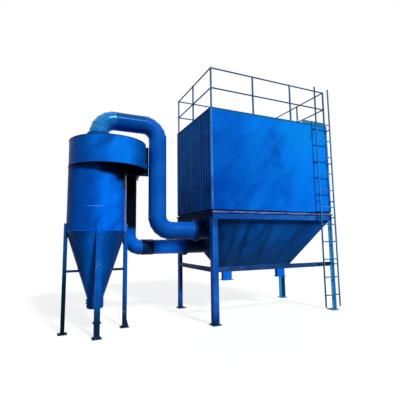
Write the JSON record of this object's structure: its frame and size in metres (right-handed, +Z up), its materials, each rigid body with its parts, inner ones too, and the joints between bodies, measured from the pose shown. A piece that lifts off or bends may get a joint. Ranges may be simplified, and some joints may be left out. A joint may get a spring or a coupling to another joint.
{
  "type": "cyclone separator with bag filter house",
  "caption": "Steel cyclone separator on channel legs, ducted from its volute head to the hopper of a ribbed bag filter house with guard rail and ladder.",
  "frame": {"origin": "bottom centre of the bounding box, at floor level", "axes": "+X from the cyclone towards the filter house, +Y towards the rear, +Z up; the ladder is on the front, at -Y"},
  "size_m": [5.5936, 2.112, 4.94],
  "materials": {
    "blue_enamel": "glossy blue enamel, weathered",
    "flange_enamel": "blue enamel, duller and rubbed at the edges",
    "rail_enamel": "faded pale blue enamel"
  },
  "bodies": {
    "root": {"cyclone_barrel": "blue_enamel", "cyclone_cone": "blue_enamel", "dust_pot": "blue_enamel", "volute_wall": "blue_enamel", "volute_rear_wall": "blue_enamel", "inlet_walls": "blue_enamel", "volute_roof": "blue_enamel", "volute_floor": "blue_enamel", "vortex_finder": "blue_enamel", "cyclone_legs": "blue_enamel", "cone_struts": "blue_enamel", "outlet_bend_top": "blue_enamel", "outlet_crossover": "blue_enamel", "outlet_bend_down": "blue_enamel", "outlet_drop": "blue_enamel", "outlet_bend_bottom": "blue_enamel", "outlet_branch": "blue_enamel", "inlet_riser": "blue_enamel", "inlet_bend": "blue_enamel", "inlet_run": "blue_enamel", "duct_stay": "blue_enamel", "casing_front": "blue_enamel", "casing_rear": "blue_enamel", "casing_left": "blue_enamel", "casing_right": "blue_enamel", "casing_roof": "blue_enamel", "roof_covers": "blue_enamel", "ring_beam": "blue_enamel", "hopper": "blue_enamel", "hopper_floor": "blue_enamel", "discharge_spouts": "blue_enamel", "house_legs": "blue_enamel", "tie_beams": "blue_enamel", "clean_gas_outlet": "blue_enamel", "inlet_joint": "flange_enamel", "inlet_flange": "flange_enamel", "duct_flanges": "flange_enamel", "base_flange": "flange_enamel", "guard_posts": "rail_enamel", "guard_rails": "rail_enamel", "ladder_stiles": "rail_enamel", "ladder_rungs": "rail_enamel", "ladder_brackets": "rail_enamel", "spout_flanges": "flange_enamel"}
  },
  "joints": []
}
